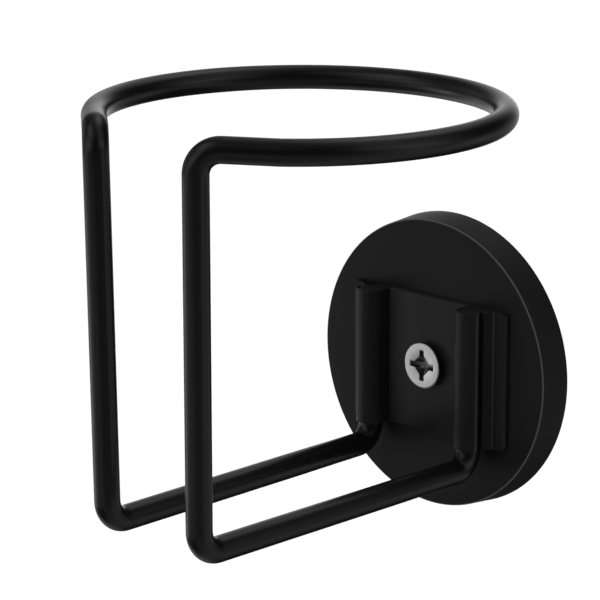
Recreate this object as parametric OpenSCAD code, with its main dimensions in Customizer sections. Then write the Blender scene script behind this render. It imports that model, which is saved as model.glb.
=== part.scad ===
// Wall-mounted hair dryer holder: a round base disc, a channel bracket
// screwed to its face and one bent wire that forms two posts, two arms,
// two legs and an open ring.
// Origin: centre of the base's back, on the wall plane (y = 0).
// The holder stands out from the wall along -Y, +X is to the right seen
// from the front, +Z is up. Millimetres.

/* [Wire] */
// Diameter of the bent steel wire with its coating
wire_d = 5.1; // [4:0.1:6]
// Centreline radius of the open ring
ring_r = 41.2; // [36:0.2:48]
// Distance from the wall to the ring's centre
ring_out = 47.5; // [46:0.5:60]
// Height of the ring's centreline above the base's centre
ring_z = 60.2; // [45:0.2:80]
// Distance from the wall to the middle of the front legs
leg_out = 89.1; // [85:0.1:95]
// How far the top of a leg stands forward of its bottom
leg_rake = 0.4; // [0:0.1:1]
// How far the ring's straight ends climb on their way to the legs
end_rise = 0.5; // [0:0.1:1]
// Depth of the arms' centreline below the base's centre
arm_drop = 19.7; // [19.6:0.1:26]
// Half of the spacing between the legs at the bottom
arm_half = 13.5; // [12.8:0.1:14.8]
// Half of the spacing between the legs at the top
top_half = 14.2; // [12.8:0.1:14.8]
// Half of the spacing between the two posts
post_half = 14.3; // [13:0.1:14.8]
// Bend radius of the wire at the top of the legs
bend_top = 4.8; // [4:0.1:6]
// Bend radius of the wire at the bottom of the legs
bend_low = 4.8; // [4:0.1:6]
// Bend radius of the wire where an arm turns up into its post
bend_wall = 4.4; // [4:0.1:4.4]

/* [Bracket] */
// Overall width of the bracket's plate
plate_w = 43.8; // [43:0.1:46]
// Height of the bracket
plate_h = 30; // [24:1:30]
// Thickness of the bracket's plate
plate_t = 1.3; // [1.2:0.1:1.6]
// Radius of the plate's corners
plate_corner = 1; // [0.5:0.5:4]
// Outer radius of a channel
channel_r = 3.2; // [3.1:0.1:3.5]
// Radial clearance between a post and its channel
post_clear = 0.08; // [0.04:0.01:0.1]
// Width of the slit along a channel's outer side
slit_w = 1.5; // [1:0.1:1.8]
// Thickness of channel wall left behind a post
web_t = 1.05; // [0.9:0.01:1.2]

/* [Screw] */
// Diameter of the countersunk head
head_d = 10; // [9.2:0.1:10.4]
// Thread diameter of the screw (M5)
screw_d = 5; // [5:5]
// Overall length of the screw, head included
screw_l = 8; // [7:0.5:8.5]
// How far the head stands proud of the plate
head_proud = 1.7; // [1.4:0.1:1.8]
// Span of the cross recess
cross_span = 6.9; // [5:0.1:7]

/* [Base] */
// Diameter of the base cover at its rim
base_d = 64.2; // [63.6:0.1:68]
// Diameter of the base cover's front face
face_d = 63; // [60:0.1:63.4]
// Depth of the base cover, front face to rim
base_t = 7.3; // [7.2:0.1:8]
// Wall thickness of the base cover
cover_t = 1.2; // [1:0.1:1.4]
// Thickness of the adhesive foam pad
pad_t = 1.1; // [1:0.1:1.4]
// How far the pad stands proud of the cover's rim
pad_proud = 0.6; // [0.4:0.1:0.8]
// Number of radial ribs in the moulded core
rib_n = 8; // [4:1:12]

/* [Hidden] */
$fn = 96;
skin = 0.01;    // overlap between touching shapes
cut = 1;        // overshoot of a cutting shape

// planes and axes shared by the pieces
face_y = -(pad_proud + base_t);        // front face of the base
plate_y = face_y - plate_t;            // front face of the plate
bore_r = wire_d / 2 + post_clear;
post_y = face_y - web_t - bore_r;      // axis of the posts

// wire: posts and legs
post_top = plate_h / 2 - 0.05;
post_chamfer = 0.4;
arm_z = -arm_drop;
top_out = leg_out + leg_rake / 2;
low_out = leg_out - leg_rake / 2;

// wire: straight end, from the top of a leg to where it meets the ring
leg_ahead = top_out - ring_out;
leg_dist = norm([top_half, leg_ahead]);
open_angle = atan2(top_half, leg_ahead) + acos(ring_r / leg_dist);   // half the ring's opening
tangent_x = ring_r * sin(open_angle);
tangent_y = -ring_out - ring_r * cos(open_angle);
tangent_l = sqrt(leg_dist * leg_dist - ring_r * ring_r);
tangent_angle = atan2(tangent_y + top_out, tangent_x - top_half);
rise_angle = atan2(end_rise, tangent_l);
top_setback = bend_top / tan(45 - rise_angle / 2);    // corner to end of the top bend
bend_z = ring_z + end_rise - top_setback;             // centre of the top bend

// a leg, from the end of its lower bend to the start of its top bend
leg_vector = [top_half - arm_half, -leg_rake, bend_z - arm_z - bend_low];
leg_l = norm(leg_vector);
leg_overlap = 0.05;                    // at each end

// the arms spread slightly from the legs to the posts
arm_l = norm([post_half - arm_half, low_out + post_y]);
splay_angle = atan2(post_half - arm_half, low_out + post_y);

// screw
head_y = plate_y - head_proud;         // outer face of the screw head
head_rim = 0.5;                        // straight edge of the head
cone_l = (head_d - screw_d) / 2;
pitch = 0.8;
screw_hole_d = screw_d + 0.5;          // through the cover and the core

// nut
nut_across = 8;                        // across flats
nut_t = 2.7;
nut_back = head_y + screw_l + 0.3;     // just behind the screw's tip
nut_front = nut_back - nut_t;

// base
rim_r = base_d / 2;
face_r = face_d / 2;                   // the cover's side slopes from this to rim_r
core_r = face_r - cover_t - 0.1;
core_front = face_y + cover_t;         // inner face of the cover's panel
core_back = -pad_t;                    // face that carries the pad

// ---- wire ----------------------------------------------------------

module rod(length) cylinder(h = length, d = wire_d);

// a thin sleeve of coating where two differently turned lengths meet
module seam() translate([0, 0, -0.3]) cylinder(h = 0.6, d = wire_d + 0.1);

// bend in the XZ plane, centred on the origin, from angle start to start + turn
module bend(radius, start, turn = 90)
    rotate([90, 0, 0]) rotate([0, 0, start])
        rotate_extrude(angle = turn) translate([radius, 0]) circle(d = wire_d);

// the ring's straight end and the top bend, in the vertical plane through both
module straight_end()
    translate([top_half, -top_out, 0]) rotate([0, 0, tangent_angle]) {
        translate([bend_top * (1 + sin(rise_angle)), 0, bend_z + bend_top * cos(rise_angle)])
            rotate([0, 90 + rise_angle, 0]) {
                rod(tangent_l / cos(rise_angle) - top_setback);
                seam();
            }
        translate([bend_top, 0, bend_z]) bend(bend_top, 90 - rise_angle, 90 + rise_angle);
        translate([tangent_l, 0, ring_z]) rotate([0, 90 + rise_angle / 2, 0]) seam();
        translate([0, 0, bend_z]) seam();
    }

// leg, leaning a little outwards and forwards to its top
module leg()
    translate([arm_half, -low_out, arm_z + bend_low])
        rotate([0, acos(leg_vector.z / leg_l), atan2(leg_vector.y, leg_vector.x)])
            translate([0, 0, -leg_overlap]) rod(leg_l + 2 * leg_overlap);

// lower bend, arm and post, in the plane of the slightly spread arm
module arm_and_post()
    translate([arm_half, -low_out, 0]) rotate([0, 0, -splay_angle]) {
        translate([0, 0, arm_z + bend_low]) seam();
        translate([0, bend_low, arm_z + bend_low])
            rotate([0, 0, 90]) bend(bend_low, 180);
        // arm
        translate([0, bend_low, arm_z]) rotate([-90, 0, 0])
            rod(arm_l - bend_low - bend_wall);
        // bend up into the post
        translate([0, arm_l - bend_wall, arm_z + bend_wall])
            rotate([0, 0, 90]) bend(bend_wall, 270);
        // post, with a small chamfer on its cut end
        translate([0, arm_l, arm_z + bend_wall])
            rod(post_top - post_chamfer - arm_z - bend_wall);
        translate([0, arm_l, post_top - post_chamfer])
            cylinder(h = post_chamfer, d1 = wire_d, d2 = wire_d - 2 * post_chamfer);
    }

// everything between the ring's end and the top of the post, on +X
module wire_side() {
    straight_end();
    leg();
    arm_and_post();
}

module wire_frame() {
    color([0.05, 0.05, 0.055]) {
        // ring, open at the front
        translate([0, -ring_out, ring_z]) rotate([0, 0, open_angle - 90])
            rotate_extrude(angle = 360 - 2 * open_angle)
                translate([ring_r, 0]) circle(d = wire_d);
        wire_side();
        mirror([1, 0, 0]) wire_side();
    }
}

// ---- bracket -------------------------------------------------------

// one side of the extruded section, on +X
module channel_section() {
    sink = 0.5;                               // depth the channel reaches into the plate
    foot_x = post_half + channel_r + 1.4;     // outer end of the sloping foot
    slit_edge = post_y + slit_w / 2;
    slit_start = 1;                           // from the post's axis
    difference() {
        union() {
            translate([-skin, plate_y]) square([plate_w / 2 + skin, plate_t]);
            translate([post_half, post_y]) circle(r = channel_r);
            translate([post_half - channel_r, post_y])
                square([channel_r, plate_y - post_y + sink]);
            // foot, sloping from the slit's rear edge to the plate
            polygon([[post_half, slit_edge],
                     [post_half + channel_r - 0.1, slit_edge],
                     [foot_x, plate_y],
                     [foot_x, plate_y + sink],
                     [post_half, plate_y + sink]]);
        }
        translate([post_half, post_y]) circle(r = bore_r);
        translate([post_half + slit_start, post_y - slit_w / 2])
            square([channel_r + cut, slit_w]);
    }
}

// outline of the plate seen from the front
module plate_outline() {
    corner_x = plate_w / 2 - plate_corner;
    corner_z = plate_h / 2 - plate_corner;
    square([plate_w, 2 * corner_z], center = true);
    square([2 * corner_x, plate_h], center = true);
    for (x = [-corner_x, corner_x], z = [-corner_z, corner_z])
        translate([x, z]) circle(r = plate_corner, $fn = 48);
}

module channel_bracket() {
    outline_depth = 10;    // deeper than the whole section
    cone_clear = 0.12;     // running fit round the screw's cone, on the diameter
    hole_clear = 0.4;      // round the screw's thread, on the diameter
    hole_reach = 0.6;      // of the hole, either side of the plate's back
    color([0.06, 0.06, 0.065])
    difference() {
        intersection() {
            translate([0, 0, -plate_h / 2]) linear_extrude(height = plate_h) {
                channel_section();
                mirror([1, 0]) channel_section();
            }
            // rounds the corners and keeps the back flush with the base's face
            translate([0, face_y, 0]) rotate([90, 0, 0])
                linear_extrude(height = outline_depth) plate_outline();
        }
        // countersunk hole
        translate([0, head_y + head_rim, 0]) rotate([-90, 0, 0])
            cylinder(h = cone_l, d1 = head_d + cone_clear, d2 = screw_d + cone_clear);
        translate([0, face_y - hole_reach, 0]) rotate([-90, 0, 0])
            cylinder(h = 2 * hole_reach, d = screw_d + hole_clear);
    }
}

// ---- screw ---------------------------------------------------------

// two tapered blades and a conical centre
module cross_recess() {
    blade_t = 1.3;
    blade_depth = 2.3;
    top_x = cross_span / 2;
    bottom_x = top_x - 1.5;
    for (turn = [0, 90])
        rotate([0, 0, turn])
            rotate([90, 0, 0]) translate([0, 0, -blade_t / 2])
                linear_extrude(height = blade_t)
                    polygon([[-top_x, -skin], [top_x, -skin],
                             [bottom_x, blade_depth], [-bottom_x, blade_depth]]);
    translate([0, 0, -skin]) cylinder(h = 2.6, d1 = 4, d2 = 1.6);
}

// one ring of the thread: rising flank, crest, falling flank
module thread_ridge(root_r, crest_r) {
    flank = pitch * 0.4;
    crest = pitch * 0.12;
    cylinder(h = flank, r1 = root_r, r2 = crest_r);
    translate([0, 0, flank]) cylinder(h = crest, r = crest_r);
    translate([0, 0, flank + crest]) cylinder(h = flank, r1 = crest_r, r2 = root_r);
}

module bracket_screw() {
    crest_r = screw_d / 2 - 0.02;
    root_r = crest_r - 0.45;
    tip_l = 0.4;             // length of the chamfered tip
    head_l = head_rim + cone_l;
    ridge_gap = 0.2;         // from the head to the first ridge
    ridge_n = floor((screw_l - head_l - 0.6) / pitch);
    color([0.75, 0.75, 0.76])
    translate([0, head_y, 0]) rotate([-90, 0, 0])
    difference() {
        union() {
            cylinder(h = head_rim, d = head_d);
            translate([0, 0, head_rim]) cylinder(h = cone_l, d1 = head_d, d2 = screw_d);
            cylinder(h = screw_l - tip_l, r = root_r);
            translate([0, 0, screw_l - tip_l])
                cylinder(h = tip_l, r1 = root_r, r2 = root_r - 0.3);
            // annular ridges in place of the helical thread
            for (i = [0 : ridge_n - 1])
                translate([0, 0, head_l + ridge_gap + i * pitch])
                    thread_ridge(root_r, crest_r);
        }
        cross_recess();
    }
}

// ---- base ----------------------------------------------------------

module base_cover() {
    front_chamfer = 0.3;
    rim_chamfer = 0.2;
    hole_r = screw_hole_d / 2;
    inner_r = face_r - cover_t;
    panel_back = base_t - cover_t;
    color([0.07, 0.07, 0.075])
    rotate([90, 0, 0]) translate([0, 0, pad_proud])
    rotate_extrude()
        // radius, distance in front of the rim
        polygon([[hole_r, base_t],
                 [face_r - front_chamfer, base_t],
                 [face_r, base_t - front_chamfer],
                 [rim_r, rim_chamfer],
                 [rim_r - rim_chamfer, 0],
                 [inner_r, 0],
                 [inner_r, panel_back],
                 [hole_r, panel_back]]);
}

module hexagon(across, height) cylinder(h = height, d = across / cos(30), $fn = 6);

module base_core() {
    back_web = 1.5;
    wall = 1.6;
    boss_r = 8;
    rib_t = 1.2;
    rib_start = 6;           // radius where a rib begins, inside the boss
    rib_end = core_r - 1;    // radius where it ends, inside the wall
    depth = core_back - core_front;
    color([0.2, 0.2, 0.21])
    translate([0, core_back, 0]) rotate([90, 0, 0])
    difference() {
        union() {
            cylinder(h = back_web, r = core_r);
            difference() {
                cylinder(h = depth, r = core_r);
                translate([0, 0, -cut]) cylinder(h = depth + 2 * cut, r = core_r - wall);
            }
            cylinder(h = depth, r = boss_r);
            for (i = [0 : rib_n - 1])
                rotate([0, 0, i * 360 / rib_n])
                    translate([rib_start, -rib_t / 2, 0])
                        cube([rib_end - rib_start, rib_t, depth]);
        }
        // pocket for the nut, open at the back, and the screw's hole
        translate([0, 0, -cut]) hexagon(nut_across + 0.2, core_back - nut_front + cut);
        translate([0, 0, -cut]) cylinder(h = depth + 2 * cut, d = screw_hole_d);
    }
}

module captive_nut() {
    chamfer = 0.4;                 // along the axis
    end_d = nut_across - 0.3;
    middle_d = nut_across + 1.3;   // clears the hexagon's corners
    color([0.7, 0.65, 0.45])
    translate([0, nut_back, 0]) rotate([90, 0, 0])
    difference() {
        intersection() {
            hexagon(nut_across, nut_t);
            union() {
                cylinder(h = chamfer, d1 = end_d, d2 = middle_d);
                translate([0, 0, chamfer]) cylinder(h = nut_t - 2 * chamfer, d = middle_d);
                translate([0, 0, nut_t - chamfer])
                    cylinder(h = chamfer, d1 = middle_d, d2 = end_d);
            }
        }
        translate([0, 0, -cut]) cylinder(h = nut_t + 2 * cut, d = screw_d + 0.1);
    }
}

module adhesive_pad() {
    color([0.1, 0.1, 0.1])
    rotate([90, 0, 0])
        cylinder(h = pad_t, r = core_r - 0.3);
}

wire_frame();
channel_bracket();
bracket_screw();
base_cover();
base_core();
captive_nut();
adhesive_pad();
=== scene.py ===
# Wire holder for a wall: a wire bent into a ring on two legs, whose ends stand in the channels
# of a bracket, which a countersunk screw holds to a round base with a foam pad behind it.
# Metres. Z is up, -Y is the front and +Y the wall side; the base and the screw turn about
# the Y axis, and the ring lies level above the bracket. The holder is mirrored about x = 0.
import math

import bmesh
import bpy
from mathutils import Matrix, Vector


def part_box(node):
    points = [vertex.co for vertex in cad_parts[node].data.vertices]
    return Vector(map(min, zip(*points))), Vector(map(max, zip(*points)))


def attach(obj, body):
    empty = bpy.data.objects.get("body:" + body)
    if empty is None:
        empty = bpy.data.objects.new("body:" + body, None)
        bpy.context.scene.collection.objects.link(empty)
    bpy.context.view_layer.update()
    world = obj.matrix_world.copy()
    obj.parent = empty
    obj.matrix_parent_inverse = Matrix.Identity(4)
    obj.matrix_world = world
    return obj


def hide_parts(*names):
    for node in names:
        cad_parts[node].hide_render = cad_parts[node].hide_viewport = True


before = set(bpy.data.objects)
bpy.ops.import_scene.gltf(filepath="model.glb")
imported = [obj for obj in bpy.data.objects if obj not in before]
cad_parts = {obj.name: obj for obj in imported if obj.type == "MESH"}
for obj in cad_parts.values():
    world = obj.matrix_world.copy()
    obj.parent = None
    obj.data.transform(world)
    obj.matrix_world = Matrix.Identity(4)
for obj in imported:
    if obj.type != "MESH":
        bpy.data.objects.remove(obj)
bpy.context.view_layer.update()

MM = 0.001
scene = bpy.context.scene

# ---------------------------------------------------------------- sizes
# the outer sizes and places are read from the CAD nodes' boxes
wire_lo, wire_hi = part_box("wire_frame")
bracket_lo, bracket_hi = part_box("channel_bracket")
screw_lo, screw_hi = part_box("bracket_screw")
cover_lo, cover_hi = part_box("base_cover")
pad_lo, pad_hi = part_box("adhesive_pad")

# wire; each HALF is half the spacing of a pair
WIRE_R = 2.55 * MM
COAT = 0.05 * MM                       # coat over the wire's nominal radius
RING_R = wire_hi.x - WIRE_R
RING_Y = wire_hi.y - RING_R - WIRE_R
RING_Z = (bracket_lo.z + bracket_hi.z) / 2 + 60.2 * MM
RING_RISE = 0.5 * MM                   # the ring's ends climb this much to the elbows
LEG_TOP_Y = wire_lo.y + 0.05 * MM + WIRE_R
LEG_LOW_Y = LEG_TOP_Y + 0.4 * MM       # upwards, the legs lean towards -Y and outwards
LEG_TOP_HALF = 14.2 * MM
LEG_LOW_HALF = 13.5 * MM
POST_HALF = 14.3 * MM
ARM_Z = wire_lo.z + WIRE_R
ELBOW_R = 4.8 * MM                     # bend from ring to leg
FOOT_BEND_R = 4.8 * MM                 # bend from leg to arm
POST_BEND_R = 4.4 * MM                 # bend from arm to post
POST_TOP = bracket_hi.z - 0.05 * MM
END_ROUND = 0.3 * MM                   # rounded shoulder of the cut ends

# bracket: a plate with an open channel on each side
CHANNEL_R = 3.2 * MM
BORE_R = 2.63 * MM
SLIT_HALF = 1.5 * MM / 2
POST_Y = bracket_lo.y + CHANNEL_R
PLATE_BACK = bracket_hi.y
PLATE_FRONT = PLATE_BACK - 1.3 * MM
PLATE_HALF_W = (bracket_hi.x - bracket_lo.x) / 2
PLATE_HALF_H = (bracket_hi.z - bracket_lo.z) / 2
PLATE_CORNER_R = 1.0 * MM
CHANNEL_IN = POST_HALF - CHANNEL_R     # x of the channel's inner and outer sides
CHANNEL_OUT = POST_HALF + CHANNEL_R
SHOULDER_X = CHANNEL_OUT + 1.4 * MM    # where the channel's outer wall meets the flange

# screw and base
HEAD_Y = screw_lo.y
HEAD_R = screw_hi.x
COVER_R = cover_hi.x                   # at the rim; the side slopes in to FACE_R
FACE_R = 31.5 * MM
PAD_R = pad_hi.x


# ---------------------------------------------------------------- mesh helpers
def link_mesh(name, form):
    """turn a bmesh into an object in the scene"""
    mesh = bpy.data.meshes.new(name)
    form.to_mesh(mesh)
    form.free()
    obj = bpy.data.objects.new(name, mesh)
    scene.collection.objects.link(obj)
    return obj


def new_object(name, form, smooth=35.0):
    bmesh.ops.recalc_face_normals(form, faces=form.faces)
    obj = link_mesh(name, form)
    set_smooth(obj, smooth)
    return obj


def register(obj, body, node):
    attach(obj, body)
    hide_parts(node)
    return obj


def set_smooth(obj, angle):
    """smooth faces, with edges sharper than angle (degrees) kept sharp"""
    for face in obj.data.polygons:
        face.use_smooth = True
    form = bmesh.new()
    form.from_mesh(obj.data)
    limit = math.radians(angle)
    for edge in form.edges:
        edge.smooth = not (len(edge.link_faces) == 2 and edge.calc_face_angle(0.0) > limit)
    form.to_mesh(obj.data)
    form.free()


def apply_modifiers(obj):
    depsgraph = bpy.context.evaluated_depsgraph_get()
    mesh = bpy.data.meshes.new_from_object(obj.evaluated_get(depsgraph))
    old = obj.data
    obj.modifiers.clear()
    obj.data = mesh
    mesh.name = obj.name
    bpy.data.meshes.remove(old)


def merge_close(obj, distance=1e-6):
    form = bmesh.new()
    form.from_mesh(obj.data)
    bmesh.ops.remove_doubles(form, verts=form.verts, dist=distance)
    bmesh.ops.dissolve_degenerate(form, edges=form.edges, dist=distance)
    bmesh.ops.recalc_face_normals(form, faces=form.faces)
    form.to_mesh(obj.data)
    form.free()


def cut_away(obj, forms):
    """subtract each bmesh from the object"""
    cutters = []
    for form in forms:
        bmesh.ops.recalc_face_normals(form, faces=form.faces)
        cutter = link_mesh("cutter", form)
        boolean = obj.modifiers.new("cut", "BOOLEAN")
        boolean.operation = "DIFFERENCE"
        boolean.solver = "EXACT"
        boolean.object = cutter
        cutters.append(cutter)
    apply_modifiers(obj)
    for cutter in cutters:
        mesh = cutter.data
        bpy.data.objects.remove(cutter)
        bpy.data.meshes.remove(mesh)
    merge_close(obj)


def finish_edges(obj, width, segments, limit, sharp):
    """small broken edges whose flats stay flat when shaded; limit and sharp in degrees"""
    bevel = obj.modifiers.new("bevel", "BEVEL")
    bevel.width = width
    bevel.segments = segments
    bevel.limit_method = "ANGLE"
    bevel.angle_limit = math.radians(limit)
    bevel.use_clamp_overlap = True
    apply_modifiers(obj)
    set_smooth(obj, sharp)
    normals = obj.modifiers.new("normals", "WEIGHTED_NORMAL")
    normals.mode = "FACE_AREA"
    normals.weight = 100
    normals.keep_sharp = True
    apply_modifiers(obj)


def join_rings(form, ring, following):
    """faces between two rings of vertices; a ring of one vertex is a pole"""
    count = max(len(ring), len(following))
    if count == 1:
        return
    for k in range(count):
        after = (k + 1) % count
        if len(ring) == 1:
            form.faces.new((ring[0], following[after], following[k]))
        elif len(following) == 1:
            form.faces.new((ring[k], ring[after], following[0]))
        else:
            form.faces.new((ring[k], ring[after], following[after], following[k]))


def loft(sections):
    """solid through equal rings of points, capped at both ends"""
    form = bmesh.new()
    rings = [[form.verts.new(point) for point in section] for section in sections]
    for ring, following in zip(rings, rings[1:]):
        join_rings(form, ring, following)
    form.faces.new(rings[0][::-1])
    form.faces.new(rings[-1])
    return form


def lathe(profile, segments):
    """solid turned round the Y axis from a closed loop of (radius, y); radius 0 makes a pole"""
    form = bmesh.new()
    rings = []
    for radius, y in profile:
        if radius < 1e-9:
            rings.append([form.verts.new((0, y, 0))])
            continue
        angles = [2 * math.pi * k / segments for k in range(segments)]
        rings.append([form.verts.new((radius * math.cos(a), y, radius * math.sin(a)))
                      for a in angles])
    for ring, following in zip(rings, rings[1:] + rings[:1]):
        join_rings(form, ring, following)
    return form


def sweep(points, radii, segments):
    """tube along points, its frame carried along without twist"""
    last = len(points) - 1
    tangents = [(points[min(i + 1, last)] - points[max(i - 1, 0)]).normalized()
                for i in range(last + 1)]
    start = tangents[0]
    side = Vector((1, 0, 0)) if abs(start.x) < 0.9 else Vector((0, 1, 0))
    side = (side - start * side.dot(start)).normalized()
    sections = []
    for i, (point, tangent, radius) in enumerate(zip(points, tangents, radii)):
        if i:
            axis = tangents[i - 1].cross(tangent)
            if axis.length > 1e-9:
                angle = tangents[i - 1].angle(tangent)
                side = Matrix.Rotation(angle, 3, axis.normalized()) @ side
            side = (side - tangent * side.dot(tangent)).normalized()
        other = tangent.cross(side)
        angles = [2 * math.pi * k / segments for k in range(segments)]
        sections.append([point + side * (radius * math.cos(a)) + other * (radius * math.sin(a))
                         for a in angles])
    return loft(sections)


def arc_points(center_x, center_y, radius, start, end, steps):
    """points of an arc in the plane, start and end in degrees"""
    angles = [math.radians(start + (end - start) * k / steps) for k in range(steps + 1)]
    return [(center_x + radius * math.cos(a), center_y + radius * math.sin(a)) for a in angles]


def fillet(corners, steps):
    """closed outline from (x, y, radius); corners with a radius become arcs"""
    outline = []
    for i, (x, y, radius) in enumerate(corners):
        corner = Vector((x, y))
        before = Vector(corners[i - 1][:2]) - corner
        after = Vector(corners[(i + 1) % len(corners)][:2]) - corner
        room = min(before.length, after.length) * 0.49
        before.normalize()
        after.normalize()
        # a corner that is straight or folded back has no arc
        if radius <= 0 or not math.radians(1) <= before.angle(after) <= math.radians(179):
            outline.append((x, y))
            continue
        half_angle = before.angle(after) / 2
        setback = min(radius / math.tan(half_angle), room)
        radius = setback * math.tan(half_angle)
        center = corner + (before + after).normalized() * (radius / math.sin(half_angle))
        start = corner + before * setback - center
        end = corner + after * setback - center
        turn = start.angle(end) * (1 if start.x * end.y - start.y * end.x > 0 else -1)
        for k in range(steps + 1):
            point = Matrix.Rotation(turn * k / steps, 2) @ start + center
            outline.append((point.x, point.y))
    return outline


# ---------------------------------------------------------------- wire
def wire_half():
    """centreline of the +X half, from the back of the ring to the post's end"""
    leg_top = Vector((LEG_TOP_HALF, LEG_TOP_Y, 0))
    leg_low = Vector((LEG_LOW_HALF, LEG_LOW_Y, 0))
    up = Vector((0, 0, 1))
    back = Vector((0, 1, 0))
    points = []

    def line(start, end, step=2.0 * MM):
        count = max(2, int((end - start).length / step))
        for k in range(1, count + 1):
            points.append(start.lerp(end, k / count))

    def bend(center, start_way, end_way, radius, start=0.0, steps=22):
        for k in range(1, steps + 1):
            angle = start + (math.pi / 2 - start) * k / steps
            points.append(center + start_way * (radius * math.cos(angle))
                          + end_way * (radius * math.sin(angle)))

    # ring, clockwise seen from above, to where the line to the leg touches it
    depth = RING_Y - LEG_TOP_Y
    distance = math.hypot(LEG_TOP_HALF, depth)
    touch = math.atan2(LEG_TOP_HALF, depth) + math.acos(RING_R / distance)
    tangent = Vector((RING_R * math.sin(touch), RING_Y - RING_R * math.cos(touch), 0))
    ring_start, ring_end, ring_steps = math.pi / 2, -math.pi / 2 + touch, 120
    for i in range(ring_steps + 1):
        a = ring_start + (ring_end - ring_start) * i / ring_steps
        points.append(Vector((RING_R * math.cos(a), RING_Y + RING_R * math.sin(a), RING_Z)))

    # rising end of the ring, and the elbow into the leg
    way = (leg_top - tangent).normalized()
    slope = math.atan2(RING_RISE, (leg_top - tangent).length)
    center_z = RING_Z + RING_RISE - ELBOW_R / math.tan(math.pi / 4 - slope / 2)
    center = Vector((leg_top.x, leg_top.y, center_z)) - way * ELBOW_R
    line(Vector((tangent.x, tangent.y, RING_Z)),
         center + (up * math.cos(slope) - way * math.sin(slope)) * ELBOW_R)
    bend(center, up, way, ELBOW_R, start=-slope)
    x, y = leg_low.x, leg_low.y
    line(Vector((leg_top.x, leg_top.y, center.z)), Vector((x, y, ARM_Z + FOOT_BEND_R)))

    # arm and post, laid straight along Y and then turned outwards about the leg
    spread_start = len(points)
    run = math.hypot(POST_HALF - LEG_LOW_HALF, POST_Y - LEG_LOW_Y)
    bend(Vector((x, y + FOOT_BEND_R, ARM_Z + FOOT_BEND_R)), -back, -up, FOOT_BEND_R)
    line(Vector((x, y + FOOT_BEND_R, ARM_Z)), Vector((x, y + run - POST_BEND_R, ARM_Z)))
    bend(Vector((x, y + run - POST_BEND_R, ARM_Z + POST_BEND_R)), -up, back, POST_BEND_R)
    line(Vector((x, y + run, ARM_Z + POST_BEND_R)), Vector((x, y + run, POST_TOP - END_ROUND)))
    spread = math.atan2(POST_HALF - LEG_LOW_HALF, POST_Y - LEG_LOW_Y)
    turn = Matrix.Rotation(-spread, 3, "Z")
    for k in range(spread_start, len(points)):
        points[k] = turn @ (points[k] - leg_low) + leg_low
    return points


def build_wire():
    right = wire_half()
    left = [Vector((-p.x, p.y, p.z)) for p in right]
    points = left[:0:-1] + right
    # the coat thickens to double over 10 mm, from 12 mm in front of the posts
    radii = []
    for point in points:
        open_part = min(max((POST_Y - 12 * MM - point.y) / (10 * MM), 0.0), 1.0)
        radii.append(WIRE_R + COAT * (1 + open_part))
    # rounded shoulder on both cut ends
    angles = [math.pi / 2 * k / 6 for k in range(1, 7)]
    heights = [POST_TOP - END_ROUND + END_ROUND * math.sin(a) for a in angles]
    end_radii = [WIRE_R + COAT - END_ROUND * (1 - math.cos(a)) for a in angles]
    left_end = [Vector((-POST_HALF, POST_Y, z)) for z in heights[::-1]]
    right_end = [Vector((POST_HALF, POST_Y, z)) for z in heights]
    form = sweep(left_end + points + right_end, end_radii[::-1] + radii + end_radii, 56)
    obj = new_object("wire_frame_bent", form, smooth=50)
    return register(obj, "frame", "wire_frame")


# ---------------------------------------------------------------- bracket
def bracket_outline():
    """section in plan, one loop: the slits join the bores to the channels' outer sides"""
    outer_angle = math.degrees(math.asin(SLIT_HALF / CHANNEL_R))
    bore_angle = math.degrees(math.asin(SLIT_HALF / BORE_R))
    outer = arc_points(POST_HALF, POST_Y, CHANNEL_R, 180, 360 - outer_angle, 40)
    bore = arc_points(POST_HALF, POST_Y, BORE_R, 360 - bore_angle, bore_angle, 56)
    # (x, y, corner radius)
    right = [(CHANNEL_IN, PLATE_FRONT, 0)]
    right += [(x, y, 0) for x, y in outer[:-1]]
    right += [(*outer[-1], 0.2 * MM), (*bore[0], 0.1 * MM)]
    right += [(x, y, 0) for x, y in bore[1:-1]]
    right += [
        (*bore[-1], 0.1 * MM),
        (CHANNEL_OUT - 0.1 * MM, POST_Y + SLIT_HALF, 0.2 * MM),
        (SHOULDER_X, PLATE_FRONT, 0.8 * MM),
        (PLATE_HALF_W, PLATE_FRONT, 0.9 * MM),
        (PLATE_HALF_W, PLATE_BACK, 0.1 * MM),
    ]
    left = [(-x, y, radius) for x, y, radius in right[::-1]]
    return fillet(left + right, steps=5)


def round_plate_front(form):
    """round the front edges at the plate's top and bottom, between and beside the channels"""
    soft = []
    for edge in form.edges:
        start, end = (vert.co for vert in edge.verts)
        level = abs(start.z - end.z) < 1e-6
        in_front = all(abs(point.y - PLATE_FRONT) < 2e-5 for point in (start, end))
        if level and in_front and edge.calc_length() > 2 * MM:
            soft.append(edge)
    bmesh.ops.bevel(form, geom=soft, offset=0.35 * MM, offset_type="OFFSET", segments=4,
                    profile=0.5, affect="EDGES", clamp_overlap=True)


def corner_cutters():
    """for each corner of the plate, a square less a quarter disc"""
    past = 1 * MM
    x_in = PLATE_HALF_W - PLATE_CORNER_R
    z_in = PLATE_HALF_H - PLATE_CORNER_R
    outline = [(PLATE_HALF_W + past, PLATE_HALF_H + past), (x_in, PLATE_HALF_H + past)]
    outline += arc_points(x_in, z_in, PLATE_CORNER_R, 90, 0, 16)
    outline.append((PLATE_HALF_W + past, z_in))
    middle = (bracket_lo.z + bracket_hi.z) / 2
    return [loft([[(side_x * x, y, side_z * z + middle) for x, z in outline]
                  for y in (PLATE_FRONT - 6 * MM, PLATE_BACK + past)])
            for side_x in (-1, 1) for side_z in (-1, 1)]


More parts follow.
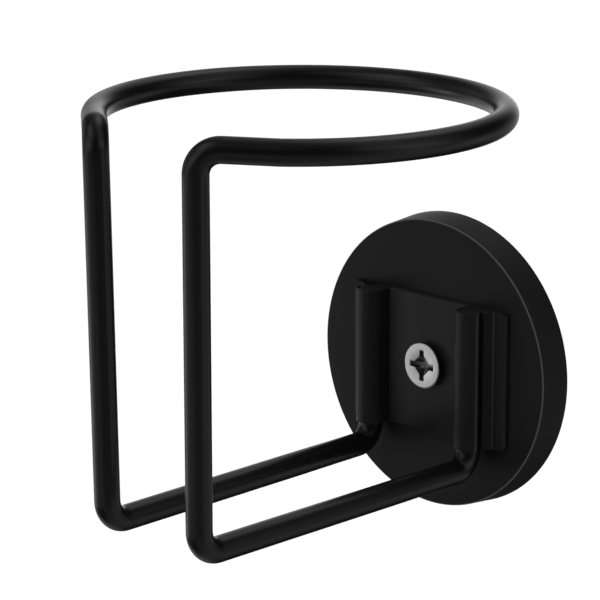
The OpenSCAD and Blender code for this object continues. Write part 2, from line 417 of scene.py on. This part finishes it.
def screw_hole():
    """countersunk hole round the screw's cone"""
    mouth_y = HEAD_Y + 0.5 * MM
    mouth_r, hole_r = 5.06 * MM, 2.7 * MM
    end_y = PLATE_BACK + 1 * MM
    return lathe([(0, mouth_y), (mouth_r, mouth_y), (hole_r, mouth_y + mouth_r - hole_r),
                  (hole_r, end_y), (0, end_y)], 96)


def build_bracket():
    outline = bracket_outline()
    form = loft([[(x, y, z) for x, y in outline] for z in (bracket_lo.z, bracket_hi.z)])
    round_plate_front(form)
    obj = new_object("channel_bracket_section", form)
    cut_away(obj, corner_cutters() + [screw_hole()])
    finish_edges(obj, width=0.12 * MM, segments=3, limit=50, sharp=50)
    return register(obj, "bracket", "channel_bracket")


# ---------------------------------------------------------------- screw
SCREW_LENGTH = 8.0 * MM
THREAD_START = 3.2 * MM                # behind the head's front
THREAD_PITCH = 0.8 * MM
THREAD_RIDGES = 5
ROOT_R, CREST_R = 2.03 * MM, 2.46 * MM
RECESS_REACH = 3.42 * MM               # from the axis to a blade's tip
RECESS_HALF_W = 0.64 * MM              # half a blade's width
RECESS_CORE = 1.42 * MM                # inner corners between the blades


def screw_profile():
    edge = 0.18 * MM
    tip_y = HEAD_Y + SCREW_LENGTH
    # slightly domed head with a rounded edge, then the cone
    profile = [(0, HEAD_Y + 0.02 * MM), (HEAD_R - 1.2 * MM, HEAD_Y + 0.01 * MM),
               (HEAD_R - 0.35 * MM, HEAD_Y)]
    profile += arc_points(HEAD_R - edge, HEAD_Y + edge, edge, -90, 0, 5)[1:]
    profile += [(HEAD_R, HEAD_Y + 0.38 * MM), (HEAD_R - 0.06 * MM, HEAD_Y + 0.5 * MM),
                (2.5 * MM, HEAD_Y + 3.0 * MM), (2.1 * MM, HEAD_Y + 3.15 * MM)]
    # the thread is a row of separate ridges
    for ridge in range(THREAD_RIDGES):
        y = HEAD_Y + THREAD_START + ridge * THREAD_PITCH
        profile += [(ROOT_R, y + 0.02 * MM), (CREST_R, y + THREAD_PITCH * 0.42),
                    (CREST_R, y + THREAD_PITCH * 0.54), (ROOT_R, y + THREAD_PITCH * 0.94)]
    profile += [(ROOT_R, tip_y - 0.4 * MM), (ROOT_R - 0.3 * MM, tip_y), (0, tip_y)]
    return profile


def recess_outline(reach, half_width, core):
    """cross of four blades with rolled corners between them"""
    knee = max(core * 1.25, reach * 0.62)
    shoulder = reach - 0.06 * MM
    # (along the blade, across it, corner radius)
    blade = [
        (core * 0.99, -core, 0.35 * MM),
        (knee, -half_width * 1.02, 0.3 * MM),
        (shoulder, -half_width, 0.16 * MM),
        (reach, 0, 0.6 * MM),
        (shoulder, half_width, 0.16 * MM),
        (knee, half_width * 1.02, 0.3 * MM),
    ]
    corners = []
    for quarter in range(4):
        cos, sin = math.cos(quarter * math.pi / 2), math.sin(quarter * math.pi / 2)
        corners += [(x * cos - z * sin, x * sin + z * cos, radius) for x, z, radius in blade]
    return fillet(corners, steps=3)


def recess_cutter():
    """cross recess that tapers inwards"""
    reach, half_width, core = RECESS_REACH, RECESS_HALF_W, RECESS_CORE
    # (depth, reach, half width, core)
    levels = [
        (-0.2 * MM, reach + 0.08 * MM, half_width + 0.03 * MM, core + 0.06 * MM),
        (0.0, reach, half_width, core),
        (0.6 * MM, reach - 0.25 * MM, half_width * 0.9, core * 0.8),
        (1.1 * MM, reach - 0.9 * MM, half_width * 0.8, core * 0.6),
        (1.5 * MM, reach - 2.2 * MM, half_width * 0.4, core * 0.3),
    ]
    return loft([[(x, HEAD_Y + depth, z) for x, z in recess_outline(*cross)]
                 for depth, *cross in levels])


def build_screw():
    obj = new_object("bracket_screw_turned", lathe(screw_profile(), 96))
    cut_away(obj, [recess_cutter()])
    finish_edges(obj, width=0.06 * MM, segments=2, limit=40, sharp=40)
    return register(obj, "screw", "bracket_screw")


# ---------------------------------------------------------------- base
def build_cover():
    """turned shell, open towards the wall, with a hole in its face"""
    front, back = cover_lo.y, cover_hi.y
    wall = 1.2 * MM
    hole_r = 2.75 * MM
    edge, rim_out, rim_in = 0.32 * MM, 0.25 * MM, 0.2 * MM    # edge radii
    inner_r = FACE_R - wall
    side_y = front + edge
    profile = [(hole_r, front + 0.15 * MM)]
    profile += [(radius * MM, front) for radius in (2.9, 6, 14, 22, 28)]
    profile += arc_points(FACE_R - edge, side_y, edge, -90, 0, 8)
    profile += [(FACE_R + (COVER_R - FACE_R) * k, side_y + (back - side_y) * k)
                for k in (0.3, 0.6)]
    profile += arc_points(COVER_R - rim_out, back - rim_out, rim_out, 0, 90, 5)
    profile += arc_points(inner_r + rim_in, back - rim_in, rim_in, 90, 180, 4)
    profile += [(inner_r, front + wall + 0.4 * MM), (inner_r - 0.4 * MM, front + wall),
                (hole_r, front + wall)]
    obj = new_object("base_cover_shell", lathe(profile, 288), smooth=40)
    return register(obj, "base", "base_cover")


def press_foam(form):
    """leave the pad not quite round, and its back not quite flat"""
    for vert in form.verts:
        radius = math.hypot(vert.co.x, vert.co.z)
        angle = math.atan2(vert.co.z, vert.co.x)
        if radius > 1e-6:
            waves = 1 + math.sin(7 * angle + 1.3) * 0.5 + math.sin(17 * angle) * 0.3
            shrink = 1 - 0.0008 * waves * (radius / PAD_R) ** 6
            vert.co.x *= shrink
            vert.co.z *= shrink
        if vert.co.y > pad_hi.y - 0.3 * MM:
            dimple = math.sin(vert.co.x * 900 + 0.7) * math.sin(vert.co.z * 800)
            vert.co.y -= 0.012 * MM * (1 + dimple)


def build_pad():
    front, back = pad_lo.y, pad_hi.y
    edge = 0.16 * MM
    profile = [(PAD_R * k / 10, front) for k in range(10)]
    profile += arc_points(PAD_R - edge, front + edge, edge, -90, 0, 4)
    profile.append((PAD_R - 0.03 * MM, (front + back) / 2))
    profile += arc_points(PAD_R - edge, back - edge, edge, 0, 90, 4)
    profile += [(PAD_R * k / 24, back) for k in range(23, -1, -1)]
    form = lathe(profile, 240)
    press_foam(form)
    obj = new_object("adhesive_pad_foam", form, smooth=45)
    return register(obj, "base", "adhesive_pad")


# ---------------------------------------------------------------- shader helpers
def grey(value):
    return (value, value, value, 1)


class Nodes:
    """node tree of a material or world, emptied but for its output"""

    def __init__(self, owner, output_kind):
        owner.use_nodes = True
        self.tree = owner.node_tree
        self.tree.nodes.clear()
        self.output = self.add(output_kind)

    def feed(self, socket, value):
        """link a socket, or set a plain value"""
        if isinstance(value, bpy.types.NodeSocket):
            self.tree.links.new(value, socket)
        else:
            socket.default_value = value

    def add(self, kind, inputs=None, **settings):
        node = self.tree.nodes.new(kind)
        for name, value in settings.items():
            setattr(node, name, value)
        for key, value in (inputs or {}).items():
            self.feed(node.inputs[key], value)
        return node

    def math(self, operation, *values):
        inputs = dict(enumerate(values))
        return self.add("ShaderNodeMath", inputs, operation=operation).outputs[0]

    def times(self, first, second):
        return self.math("MULTIPLY", first, second)


class Shader(Nodes):
    """material with a Principled surface"""

    def __init__(self, name):
        self.material = bpy.data.materials.new(name)
        super().__init__(self.material, "ShaderNodeOutputMaterial")
        self.surface = self.add("ShaderNodeBsdfPrincipled")
        self.feed(self.output.inputs[0], self.surface.outputs[0])

    def set(self, inputs):
        for name, value in inputs.items():
            self.feed(self.surface.inputs[name], value)

    def coords(self, scale=(1, 1, 1)):
        source = self.add("ShaderNodeTexCoord").outputs["Object"]
        return self.add("ShaderNodeMapping", {"Scale": scale, "Vector": source}).outputs["Vector"]

    def position(self):
        """x, y and z in metres"""
        source = self.add("ShaderNodeTexCoord").outputs["Object"]
        return self.add("ShaderNodeSeparateXYZ", {0: source}).outputs

    def axis_parts(self):
        """distance from the Y axis, and y itself, in metres"""
        x, y, z = self.position()
        return self.math("SQRT", self.math("ADD", self.times(x, x), self.times(z, z))), y

    def noise(self, vector, scale, detail, roughness):
        inputs = {"Scale": scale, "Detail": detail, "Roughness": roughness, "Vector": vector}
        return self.add("ShaderNodeTexNoise", inputs).outputs["Fac"]

    def remap(self, value, source=(0.3, 0.7), target=(0.0, 1.0)):
        inputs = {"From Min": source[0], "From Max": source[1],
                  "To Min": target[0], "To Max": target[1], "Value": value}
        return self.add("ShaderNodeMapRange", inputs).outputs["Result"]

    def rise(self, value, start, end, top=1.0):
        """0 at start, top at end"""
        return self.remap(value, (start, end), (0.0, top))

    def fall(self, value, start, end):
        """1 at start, 0 at end"""
        return self.remap(value, (start, end), (1.0, 0.0))

    def band(self, value, low, high, soft):
        """1 between low and high, falling to 0 over soft on both sides"""
        return self.times(self.rise(value, low - soft, low), self.fall(value, high, high + soft))

    def ramp(self, value, stops):
        """stops: (position, colour)"""
        node = self.add("ShaderNodeValToRGB", {"Fac": value})
        elements = node.color_ramp.elements
        elements[0].position, elements[0].color = stops[0]
        elements[1].position, elements[1].color = stops[-1]
        for position, color in stops[1:-1]:
            elements.new(position).color = color
        return node.outputs["Color"]

    def bump(self, height, strength, distance, normal=None):
        inputs = {"Strength": strength, "Distance": distance, "Height": height}
        if normal is not None:
            inputs["Normal"] = normal
        return self.add("ShaderNodeBump", inputs).outputs["Normal"]

    def tint(self, mask, value):
        """lay a flat grey over the base colour, by mask"""
        base = self.surface.inputs["Base Color"]
        # of a Mix node set to colour, 6 and 7 are A and B, and output 2 the result
        inputs = {0: mask, 6: base.links[0].from_socket, 7: grey(value)}
        self.feed(base, self.add("ShaderNodeMix", inputs, data_type="RGBA").outputs[2])


# ---------------------------------------------------------------- materials
def black_coat(name, dark, light, roughness, grain, peel, specular,
               stretch=(1, 1, 1), grain_height=6e-6):
    """powder coat: fine grain, orange peel, and a slow drift of tone and gloss"""
    shader = Shader(name)
    plain = shader.coords()
    stretched = shader.coords(stretch)
    fine = shader.noise(stretched, scale=grain, detail=3.0, roughness=0.6)
    dimples = shader.noise(stretched, scale=peel, detail=2.0, roughness=0.5)
    slow = shader.noise(plain, scale=45.0, detail=3.0, roughness=0.5)
    mix = shader.add("ShaderNodeMix", {"Factor": 0.45, "A": slow, "B": fine},
                     data_type="FLOAT").outputs["Result"]
    relief = shader.bump(dimples, strength=0.5, distance=1.2e-5)
    shader.set({
        "Base Color": shader.ramp(mix, [(0.3, grey(dark)), (0.7, grey(light))]),
        "Roughness": shader.remap(mix, target=roughness),
        "Specular IOR Level": specular,
        "Normal": shader.bump(fine, strength=0.6, distance=grain_height, normal=relief),
    })
    return shader


def wire_material():
    shader = black_coat("black_satin_coat", dark=0.013, light=0.019, roughness=(0.22, 0.32),
                        grain=3200, peel=650, specular=0.45)
    # the cut ends of the wire took less coat than its length
    y, z = shader.position()[1:]
    near = shader.rise(y, start=POST_Y - 6 * MM, end=POST_Y - 5 * MM)
    high = shader.band(z, low=POST_TOP - 0.06 * MM, high=POST_TOP + 0.5 * MM, soft=0.03 * MM)
    shader.tint(shader.times(near, high), 0.05)
    return shader.material


def bracket_material():
    shader = black_coat("black_drawn_section", dark=0.028, light=0.038, roughness=(0.34, 0.44),
                        grain=3600, peel=900, specular=0.17, stretch=(1, 1, 0.06))
    rise, fall, band = shader.rise, shader.fall, shader.band
    times, tint = shader.times, shader.tint
    x, y, z = shader.position()
    side = shader.math("ABSOLUTE", x)

    # painted light and shade across the plate: paler to the left, lifting the channel's shade, and
    # painted shade darker downwards
    plate = times(band(y, low=PLATE_FRONT - 0.05 * MM, high=PLATE_BACK, soft=0.05 * MM),
                  fall(side, start=CHANNEL_IN - 0.1 * MM, end=CHANNEL_IN + 0.2 * MM))
    tint(times(plate, fall(x, start=-CHANNEL_IN, end=-1.5 * MM)), 0.085)
    tint(times(plate, rise(z, start=0.0, end=-14 * MM, top=0.45)), 0.008)
    # painted light on the plate's top and bottom faces, behind its rounded front edge
    edge = band(y, low=PLATE_FRONT + 0.2 * MM, high=PLATE_BACK, soft=0.1 * MM)
    tint(times(plate, edge), 0.10)
    # painted highlights along the shoulder lines, stronger upwards
    shoulder = band(side, low=SHOULDER_X - 0.16 * MM, high=SHOULDER_X + 0.14 * MM,
                    soft=0.1 * MM)
    upwards = shader.remap(z, source=(-12 * MM, 12 * MM), target=(0.6, 1.0))
    tint(times(shoulder, upwards), 0.10)
    # painted highlights on the front lips of the slits
    slit_front = POST_Y - SLIT_HALF
    lip_side = band(side, low=CHANNEL_OUT - 0.55 * MM, high=CHANNEL_OUT, soft=0.15 * MM)
    lip_depth = band(y, low=slit_front - 0.55 * MM, high=slit_front - 0.02 * MM, soft=0.1 * MM)
    tint(times(lip_side, lip_depth), 0.09)
    # painted light on the outer ends of the flanges, short of the back edge
    flange_side = rise(side, start=PLATE_HALF_W - 0.4 * MM, end=PLATE_HALF_W - 0.05 * MM)
    flange_depth = band(y, low=PLATE_FRONT, high=PLATE_BACK - 0.4 * MM, soft=0.1 * MM)
    tint(times(flange_side, flange_depth), 0.075)
    # top ends of the channels: painted light lifts their shade, and painted shade darkens the left
    # one's outer side
    top = bracket_hi.z
    channel_top_ends = times(rise(z, start=top - 0.10 * MM, end=top - 0.03 * MM, top=0.85),
                 rise(side, start=CHANNEL_IN - 0.2 * MM, end=CHANNEL_IN + 0.1 * MM))
    tint(channel_top_ends, 0.055)
    left_side = rise(x, start=-POST_HALF - 0.4 * MM, end=-POST_HALF - 1.4 * MM)
    tint(times(channel_top_ends, left_side), 0.02)
    # painted shade: darker top of the left flange
    left_flange = rise(x, start=0.2 * MM - SHOULDER_X, end=-SHOULDER_X)
    tint(times(left_flange, rise(z, start=11.5 * MM, end=13.5 * MM)), 0.006)
    return shader.material


def cover_material():
    shader = black_coat("black_fine_texture", dark=0.026, light=0.034, roughness=(0.42, 0.52),
                        grain=4200, peel=1100, specular=0.13, grain_height=9e-6)
    # painted highlight: a lighter ring along the front edge
    radius, y = shader.axis_parts()
    outside = shader.rise(radius, start=FACE_R - 0.34 * MM, end=FACE_R - 0.20 * MM)
    front = shader.fall(y, start=cover_lo.y + 0.14 * MM, end=cover_lo.y + 0.34 * MM)
    shader.tint(shader.times(outside, front), 0.25)
    return shader.material


def screw_material():
    """zinc plate: turning marks round the head, faint bloom"""
    shader = Shader("bright_zinc")
    x, _, z = shader.position()
    flat = shader.add("ShaderNodeCombineXYZ", {0: x, 2: z}).outputs[0]
    radius = shader.add("ShaderNodeVectorMath", {0: flat}, operation="LENGTH").outputs["Value"]
    along_radius = shader.add("ShaderNodeCombineXYZ", {0: radius}).outputs[0]
    rings = shader.noise(along_radius, scale=9000, detail=2.0, roughness=0.7)
    cloud = shader.noise(shader.coords(), scale=700, detail=4.0, roughness=0.6)
    tones = [(0.3, grey(0.60)), (0.55, grey(0.71)), (0.75, grey(0.80))]
    relief = shader.bump(cloud, strength=0.4, distance=8e-6)
    shader.set({
        "Base Color": shader.ramp(cloud, tones),
        "Metallic": 1.0,
        "Roughness": shader.remap(cloud, target=(0.26, 0.42)),
        "Normal": shader.bump(rings, strength=0.5, distance=3e-6, normal=relief),
    })
    # painted shade in the cross recess, darker below the head's face
    radius, y = shader.axis_parts()
    inside = shader.fall(radius, start=3.5 * MM, end=3.7 * MM)
    below = shader.rise(y, start=HEAD_Y + 0.03 * MM, end=HEAD_Y + 0.2 * MM)
    shader.tint(shader.times(inside, below), 0.17)
    return shader.material


def nut_material():
    shader = Shader("yellow_zinc")
    cloud = shader.noise(shader.coords(), scale=500, detail=4.0, roughness=0.6)
    tones = [(0.3, (0.42, 0.34, 0.16, 1)), (0.7, (0.62, 0.56, 0.34, 1))]
    shader.set({
        "Base Color": shader.ramp(cloud, tones),
        "Metallic": 1.0,
        "Roughness": shader.remap(cloud, target=(0.28, 0.45)),
        "Normal": shader.bump(cloud, strength=0.4, distance=1e-5),
    })
    return shader.material


def core_material():
    shader = Shader("moulded_core")
    grain = shader.noise(shader.coords(), scale=2600, detail=3.0, roughness=0.6)
    streaks = shader.noise(shader.coords((1, 4, 1)), scale=60, detail=3.0, roughness=0.5)
    tones = [(0.3, (0.030, 0.030, 0.033, 1)), (0.7, (0.045, 0.045, 0.048, 1))]
    shader.set({
        "Base Color": shader.ramp(streaks, tones),
        "Roughness": shader.remap(grain, target=(0.45, 0.62)),
        "Normal": shader.bump(grain, strength=0.5, distance=2e-5),
    })
    return shader.material


def pad_material():
    """foam: closed cells and a dull, slightly uneven adhesive face"""
    shader = Shader("foam_pad")
    vector = shader.coords()
    cells = shader.add("ShaderNodeTexVoronoi", {"Scale": 3200, "Vector": vector})
    slow = shader.noise(vector, scale=90, detail=4.0, roughness=0.6)
    tones = [(0.3, (0.020, 0.020, 0.022, 1)), (0.7, (0.034, 0.034, 0.036, 1))]
    relief = shader.bump(slow, strength=0.5, distance=6e-5)
    shader.set({
        "Base Color": shader.ramp(slow, tones),
        "Roughness": shader.remap(slow, target=(0.55, 0.75)),
        "Normal": shader.bump(cells.outputs["Distance"], strength=0.5, distance=3e-5,
                              normal=relief),
    })
    return shader.material


def assign(obj, material):
    if obj.material_slots:
        for slot in obj.material_slots:
            slot.material = material
    else:
        obj.data.materials.append(material)


# ---------------------------------------------------------------- stage
# soft lights all round, each a smooth patch of the surround: (direction x, y, z, strength)
LOBE_SHARPNESS = 28.0                  # higher makes the patches narrower
LOBES = [
    (0.000, -0.176, 0.984, 0.077), (0.204, 0.223, 0.953, 0.310), (-0.386, -0.034, 0.922, 0.180),
    (-0.089, 0.503, 0.859, 1.228), (-0.301, -0.473, 0.828, 0.179), (0.583, 0.157, 0.797, 0.391),
    (-0.571, 0.296, 0.766, 0.063), (0.233, -0.638, 0.734, 0.171), (-0.671, -0.314, 0.672, 0.025),
    (-0.398, 0.686, 0.609, 0.333), (-0.175, -0.797, 0.578, 0.493), (0.685, 0.481, 0.547, 0.220),
    (-0.850, 0.110, 0.516, 0.025), (-0.639, -0.643, 0.422, 0.085), (0.920, 0.043, 0.391, 0.555),
    (-0.717, 0.598, 0.359, 0.396), (-0.941, -0.212, 0.266, 0.221), (-0.413, -0.894, 0.172, 0.662),
    (0.913, 0.382, 0.141, 0.614), (-0.935, 0.336, 0.109, 0.054), (-0.841, -0.541, 0.016, 0.165),
    (-0.612, 0.790, -0.047, 1.290), (0.730, 0.675, -0.109, 0.061), (-0.990, -0.005, -0.141, 0.403),
    (0.730, -0.662, -0.172, 0.041), (-0.090, 0.975, -0.203, 0.234), (-0.588, -0.774, -0.234, 0.489),
    (0.949, 0.173, -0.266, 0.320), (-0.808, 0.509, -0.297, 0.523), (0.250, -0.911, -0.328, 0.160),
    (0.426, 0.830, -0.359, 0.409), (0.840, -0.342, -0.422, 0.144), (-0.258, -0.836, -0.484, 0.110),
    (0.739, 0.433, -0.516, 0.335), (-0.819, 0.176, -0.547, 0.558), (0.472, -0.665, -0.578, 0.252),
    (0.740, -0.027, -0.672, 0.214), (0.410, 0.496, -0.766, 0.204), (-0.598, -0.084, -0.797, 0.478),
    (0.462, -0.318, -0.828, 0.151), (-0.224, -0.396, -0.891, 0.028), (0.369, 0.120, -0.922, 0.293),
    (-0.275, 0.126, -0.953, 0.446), (0.069, -0.162, -0.984, 0.236),
]
# small soft boxes close to the holder: (direction x, y, z, power in watts)
BOXES = [
    (-0.966, 0.000, -0.259, 0.010), (-0.837, -0.483, -0.259, 0.081),
    (-0.470, -0.814, 0.342, 0.009), (-0.321, -0.557, 0.766, 0.037),
    (0.000, -0.966, -0.259, 0.017), (0.000, -0.940, 0.342, 0.029),
    (0.000, -0.643, 0.766, 0.015),
]
BOX_SIZE = 0.16
BOX_DISTANCE = 0.42
BOX_TARGET = Vector((0, -0.03, 0))
FLOOR_HALF = 14.0
FLOOR_Z = -1.1


def build_floor():
    """pale floor, well below the holder, seen only by the camera and in shadow"""
    form = bmesh.new()
    for side_x, side_y in ((-1, -1), (1, -1), (1, 1), (-1, 1)):
        form.verts.new((side_x * FLOOR_HALF, side_y * FLOOR_HALF, FLOOR_Z))
    form.faces.new(form.verts)
    floor = link_mesh("floor", form)
    shader = Shader("floor_pale")
    shader.set({
        "Base Color": grey(0.9),
        "Roughness": 0.9,
        "Emission Color": grey(1),
        "Emission Strength": 0.82,
    })
    floor.data.materials.append(shader.material)
    floor.visible_glossy = False
    floor.visible_diffuse = False


def build_world():
    """studio surround: white to the camera, the soft lights to the surfaces"""
    world = bpy.data.worlds.new("studio")
    scene.world = world
    nodes = Nodes(world, "ShaderNodeOutputWorld")
    generated = nodes.add("ShaderNodeTexCoord").outputs["Generated"]
    total = None
    for *direction, strength in LOBES:
        dot = nodes.add("ShaderNodeVectorMath",
                        {0: generated, 1: Vector(direction).normalized()},
                        operation="DOT_PRODUCT").outputs["Value"]
        falloff = nodes.math("MULTIPLY_ADD", dot, LOBE_SHARPNESS, -LOBE_SHARPNESS)
        glow = nodes.math("EXPONENT", falloff)
        if total is None:
            total = nodes.times(glow, strength)
        else:
            total = nodes.math("MULTIPLY_ADD", glow, strength, total)
    lights = nodes.add("ShaderNodeBackground", {0: grey(1), 1: total}).outputs[0]
    white = nodes.add("ShaderNodeBackground", {0: grey(1), 1: 1.0}).outputs[0]
    to_camera = nodes.add("ShaderNodeLightPath").outputs["Is Camera Ray"]
    mix = nodes.add("ShaderNodeMixShader", {0: to_camera, 1: lights, 2: white})
    nodes.feed(nodes.output.inputs[0], mix.outputs[0])


def build_boxes():
    for k, (*direction, power) in enumerate(BOXES):
        light = bpy.data.lights.new(f"box_{k}", "AREA")
        light.shape = "SQUARE"
        light.size = BOX_SIZE
        light.energy = power
        obj = bpy.data.objects.new(f"box_{k}", light)
        scene.collection.objects.link(obj)
        obj.location = BOX_TARGET + Vector(direction).normalized() * BOX_DISTANCE
        obj.rotation_mode = "QUATERNION"
        obj.rotation_quaternion = (BOX_TARGET - obj.location).to_track_quat("-Z", "Y")


def build_camera():
    """long lens, from the front right and a little above"""
    camera = bpy.data.cameras.new("camera")
    camera.sensor_width = 36.0
    camera.lens = 165.1614
    camera.clip_start, camera.clip_end = 0.05, 60
    obj = bpy.data.objects.new("camera", camera)
    scene.collection.objects.link(obj)
    azimuth, elevation, roll = (math.radians(angle) for angle in (45.08, 14.46, -0.18))
    backward = Vector((math.sin(azimuth) * math.cos(elevation),
                       -math.cos(azimuth) * math.cos(elevation), math.sin(elevation)))
    forward = -backward
    right = forward.cross(Vector((0, 0, 1))).normalized()
    up = right.cross(forward)
    rolled_right = right * math.cos(roll) + up * math.sin(roll)
    rolled_up = -right * math.sin(roll) + up * math.cos(roll)
    matrix = Matrix((rolled_right, rolled_up, backward)).transposed().to_4x4()
    matrix.translation = Vector((0.38449, -0.43113, 0.16139))
    obj.matrix_world = matrix
    scene.camera = obj


# ---------------------------------------------------------------- build
scene.view_settings.view_transform = "Standard"
scene.view_settings.look = "None"
wire = build_wire()
bracket = build_bracket()
screw = build_screw()
cover = build_cover()
pad = build_pad()
assign(wire, wire_material())
assign(bracket, bracket_material())
assign(cover, cover_material())
assign(screw, screw_material())
assign(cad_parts["captive_nut"], nut_material())
assign(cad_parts["base_core"], core_material())
assign(pad, pad_material())
build_floor()
build_world()
build_boxes()
build_camera()
